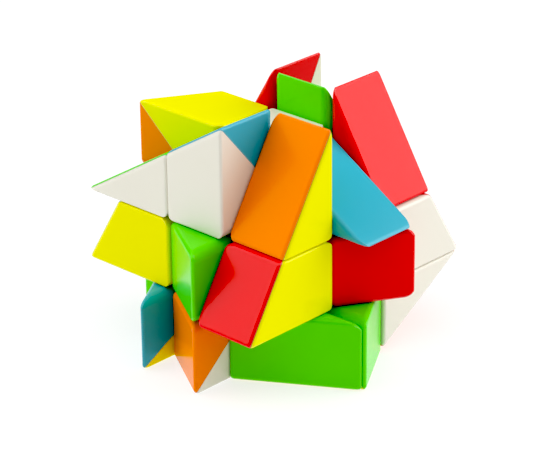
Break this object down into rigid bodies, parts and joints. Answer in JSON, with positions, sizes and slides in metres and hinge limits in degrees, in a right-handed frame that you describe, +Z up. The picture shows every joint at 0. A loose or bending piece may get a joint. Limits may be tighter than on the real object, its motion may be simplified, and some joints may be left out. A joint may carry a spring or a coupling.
{
  "type": "windmill twisty puzzle",
  "caption": "Scrambled three-layer windmill cube: stickerless coloured shells on feet that turn round a sprung six-arm core, so every face turns.",
  "frame": {"origin": "Centre of the puzzle's flat underside, on the table plane; the core's centre is 28.5 mm above it.", "axes": "+X to the red centre's face, +Y to the blue centre's face, +Z up to the white centre's face; the turning axes are parallel to X, Y and Z."},
  "size_m": [0.0782, 0.0782, 0.0676],
  "materials": {
    "white_plastic": "glossy moulded ABS",
    "yellow_plastic": "glossy moulded ABS",
    "orange_plastic": "glossy moulded ABS",
    "red_plastic": "glossy moulded ABS",
    "green_plastic": "glossy moulded ABS",
    "blue_plastic": "glossy moulded ABS",
    "inner_plastic": "plain moulded ABS, lightly greased",
    "steel": "zinc plated",
    "spring_steel": "bare spring wire"
  },
  "bodies": {
    "root": {"core": "inner_plastic", "screws": "steel", "springs": "spring_steel", "washers": "steel"},
    "white_red_corner": {"white_red_corner_end": "white_plastic", "white_red_corner_side": "red_plastic", "white_red_corner_foot": "inner_plastic"},
    "white_blue_corner": {"white_blue_corner_end": "white_plastic", "white_blue_corner_side": "blue_plastic", "white_blue_corner_foot": "inner_plastic"},
    "white_orange_corner": {"white_orange_corner_end": "white_plastic", "white_orange_corner_side": "orange_plastic", "white_orange_corner_foot": "inner_plastic"},
    "white_green_corner": {"white_green_corner_end": "white_plastic", "white_green_corner_side": "green_plastic", "white_green_corner_foot": "inner_plastic"},
    "yellow_red_corner": {"yellow_red_corner_end": "yellow_plastic", "yellow_red_corner_side": "red_plastic", "yellow_red_corner_foot": "inner_plastic"},
    "yellow_blue_corner": {"yellow_blue_corner_end": "yellow_plastic", "yellow_blue_corner_side": "blue_plastic", "yellow_blue_corner_foot": "inner_plastic"},
    "yellow_orange_corner": {"yellow_orange_corner_end": "yellow_plastic", "yellow_orange_corner_side": "orange_plastic", "yellow_orange_corner_foot": "inner_plastic"},
    "yellow_green_corner": {"yellow_green_corner_end": "yellow_plastic", "yellow_green_corner_side": "green_plastic", "yellow_green_corner_foot": "inner_plastic"},
    "white_red_edge": {"white_red_edge_end": "white_plastic", "white_red_edge_side": "red_plastic"},
    "white_blue_edge": {"white_blue_edge_end": "white_plastic", "white_blue_edge_side": "blue_plastic"},
    "white_orange_edge": {"white_orange_edge_end": "white_plastic", "white_orange_edge_side": "orange_plastic"},
    "white_green_edge": {"white_green_edge_end": "white_plastic", "white_green_edge_side": "green_plastic"},
    "yellow_red_edge": {"yellow_red_edge_end": "yellow_plastic", "yellow_red_edge_side": "red_plastic"},
    "yellow_blue_edge": {"yellow_blue_edge_end": "yellow_plastic", "yellow_blue_edge_side": "blue_plastic"},
    "yellow_orange_edge": {"yellow_orange_edge_end": "yellow_plastic", "yellow_orange_edge_side": "orange_plastic"},
    "yellow_green_edge": {"yellow_green_edge_end": "yellow_plastic", "yellow_green_edge_side": "green_plastic"},
    "red_edge": {"red_edge_body": "red_plastic"},
    "blue_edge": {"blue_edge_body": "blue_plastic"},
    "orange_edge": {"orange_edge_body": "orange_plastic"},
    "green_edge": {"green_edge_body": "green_plastic"},
    "red_centre": {"red_centre_cap": "red_plastic", "red_centre_base": "inner_plastic"},
    "blue_centre": {"blue_centre_cap": "blue_plastic", "blue_centre_base": "inner_plastic"},
    "orange_centre": {"orange_centre_cap": "orange_plastic", "orange_centre_base": "inner_plastic"},
    "green_centre": {"green_centre_cap": "green_plastic", "green_centre_base": "inner_plastic"},
    "white_centre": {"white_centre_cap": "white_plastic", "white_centre_base": "inner_plastic"},
    "yellow_centre": {"yellow_centre_cap": "yellow_plastic", "yellow_centre_base": "inner_plastic"}
  },
  "joints": [
    {"name": "up_turn", "type": "hinge", "parent": "root", "child": "white_centre", "pos_m": [0, 0, 0.0285], "axis": [0, 0, 1], "continuous": true},
    {"name": "down_turn", "type": "hinge", "parent": "root", "child": "yellow_centre", "pos_m": [0, 0, 0.0285], "axis": [0, 0, -1], "continuous": true},
    {"name": "front_turn", "type": "hinge", "parent": "root", "child": "green_centre", "pos_m": [0, 0, 0.0285], "axis": [0, -1, 0], "continuous": true},
    {"name": "back_turn", "type": "hinge", "parent": "root", "child": "blue_centre", "pos_m": [0, 0, 0.0285], "axis": [0, 1, 0], "continuous": true},
    {"name": "left_turn", "type": "hinge", "parent": "root", "child": "orange_centre", "pos_m": [0, 0, 0.0285], "axis": [-1, 0, 0], "continuous": true},
    {"name": "right_turn", "type": "hinge", "parent": "root", "child": "red_centre", "pos_m": [0, 0, 0.0285], "axis": [1, 0, 0], "continuous": true},
    {"name": "white_blue_edge_with_front", "type": "hinge", "parent": "white_centre", "child": "white_blue_edge", "pos_m": [0, 0, 0.0285], "axis": [0, -1, 0], "continuous": true},
    {"name": "green_edge_with_back", "type": "hinge", "parent": "white_centre", "child": "green_edge", "pos_m": [0, 0, 0.0285], "axis": [0, 1, 0], "continuous": true},
    {"name": "white_orange_edge_with_front", "type": "hinge", "parent": "yellow_centre", "child": "white_orange_edge", "pos_m": [0, 0, 0.0285], "axis": [0, -1, 0], "continuous": true},
    {"name": "red_edge_with_back", "type": "hinge", "parent": "yellow_centre", "child": "red_edge", "pos_m": [0, 0, 0.0285], "axis": [0, 1, 0], "continuous": true},
    {"name": "yellow_blue_edge_with_left", "type": "hinge", "parent": "green_centre", "child": "yellow_blue_edge", "pos_m": [0, 0, 0.0285], "axis": [-1, 0, 0], "continuous": true},
    {"name": "yellow_red_edge_with_right", "type": "hinge", "parent": "green_centre", "child": "yellow_red_edge", "pos_m": [0, 0, 0.0285], "axis": [1, 0, 0], "continuous": true},
    {"name": "orange_edge_with_left", "type": "hinge", "parent": "blue_centre", "child": "orange_edge", "pos_m": [0, 0, 0.0285], "axis": [-1, 0, 0], "continuous": true},
    {"name": "white_red_edge_with_right", "type": "hinge", "parent": "blue_centre", "child": "white_red_edge", "pos_m": [0, 0, 0.0285], "axis": [1, 0, 0], "continuous": true},
    {"name": "yellow_orange_edge_with_up", "type": "hinge", "parent": "orange_centre", "child": "yellow_orange_edge", "pos_m": [0, 0, 0.0285], "axis": [0, 0, 1], "continuous": true},
    {"name": "blue_edge_with_up", "type": "hinge", "parent": "red_centre", "child": "blue_edge", "pos_m": [0, 0, 0.0285], "axis": [0, 0, 1], "continuous": true},
    {"name": "white_green_edge_with_down", "type": "hinge", "parent": "orange_centre", "child": "white_green_edge", "pos_m": [0, 0, 0.0285], "axis": [0, 0, -1], "continuous": true},
    {"name": "yellow_green_edge_with_down", "type": "hinge", "parent": "red_centre", "child": "yellow_green_edge", "pos_m": [0, 0, 0.0285], "axis": [0, 0, -1], "continuous": true},
    {"name": "white_green_corner_with_up", "type": "hinge", "parent": "yellow_blue_edge", "child": "white_green_corner", "pos_m": [0, 0, 0.0285], "axis": [0, 0, 1], "continuous": true},
    {"name": "yellow_orange_corner_with_up", "type": "hinge", "parent": "yellow_red_edge", "child": "yellow_orange_corner", "pos_m": [0, 0, 0.0285], "axis": [0, 0, 1], "continuous": true},
    {"name": "white_red_corner_with_up", "type": "hinge", "parent": "orange_edge", "child": "white_red_corner", "pos_m": [0, 0, 0.0285], "axis": [0, 0, 1], "continuous": true},
    {"name": "yellow_red_corner_with_up", "type": "hinge", "parent": "white_red_edge", "child": "yellow_red_corner", "pos_m": [0, 0, 0.0285], "axis": [0, 0, 1], "continuous": true},
    {"name": "yellow_blue_corner_with_down", "type": "hinge", "parent": "yellow_blue_edge", "child": "yellow_blue_corner", "pos_m": [0, 0, 0.0285], "axis": [0, 0, -1], "continuous": true},
    {"name": "yellow_green_corner_with_down", "type": "hinge", "parent": "yellow_red_edge", "child": "yellow_green_corner", "pos_m": [0, 0, 0.0285], "axis": [0, 0, -1], "continuous": true},
    {"name": "white_blue_corner_with_down", "type": "hinge", "parent": "orange_edge", "child": "white_blue_corner", "pos_m": [0, 0, 0.0285], "axis": [0, 0, -1], "continuous": true},
    {"name": "white_orange_corner_with_down", "type": "hinge", "parent": "white_red_edge", "child": "white_orange_corner", "pos_m": [0, 0, 0.0285], "axis": [0, 0, -1], "continuous": true}
  ],
  "couplings": [
    {"joint": "white_blue_edge_with_front", "follows": "front_turn", "ratio": 1},
    {"joint": "green_edge_with_back", "follows": "back_turn", "ratio": 1},
    {"joint": "white_orange_edge_with_front", "follows": "front_turn", "ratio": 1},
    {"joint": "red_edge_with_back", "follows": "back_turn", "ratio": 1},
    {"joint": "yellow_blue_edge_with_left", "follows": "left_turn", "ratio": 1},
    {"joint": "yellow_red_edge_with_right", "follows": "right_turn", "ratio": 1},
    {"joint": "orange_edge_with_left", "follows": "left_turn", "ratio": 1},
    {"joint": "white_red_edge_with_right", "follows": "right_turn", "ratio": 1},
    {"joint": "yellow_orange_edge_with_up", "follows": "up_turn", "ratio": 1},
    {"joint": "blue_edge_with_up", "follows": "up_turn", "ratio": 1},
    {"joint": "white_green_edge_with_down", "follows": "down_turn", "ratio": 1},
    {"joint": "yellow_green_edge_with_down", "follows": "down_turn", "ratio": 1},
    {"joint": "white_green_corner_with_up", "follows": "up_turn", "ratio": 1},
    {"joint": "yellow_orange_corner_with_up", "follows": "up_turn", "ratio": 1},
    {"joint": "white_red_corner_with_up", "follows": "up_turn", "ratio": 1},
    {"joint": "yellow_red_corner_with_up", "follows": "up_turn", "ratio": 1},
    {"joint": "yellow_blue_corner_with_down", "follows": "down_turn", "ratio": 1},
    {"joint": "yellow_green_corner_with_down", "follows": "down_turn", "ratio": 1},
    {"joint": "white_blue_corner_with_down", "follows": "down_turn", "ratio": 1},
    {"joint": "white_orange_corner_with_down", "follows": "down_turn", "ratio": 1}
  ]
}
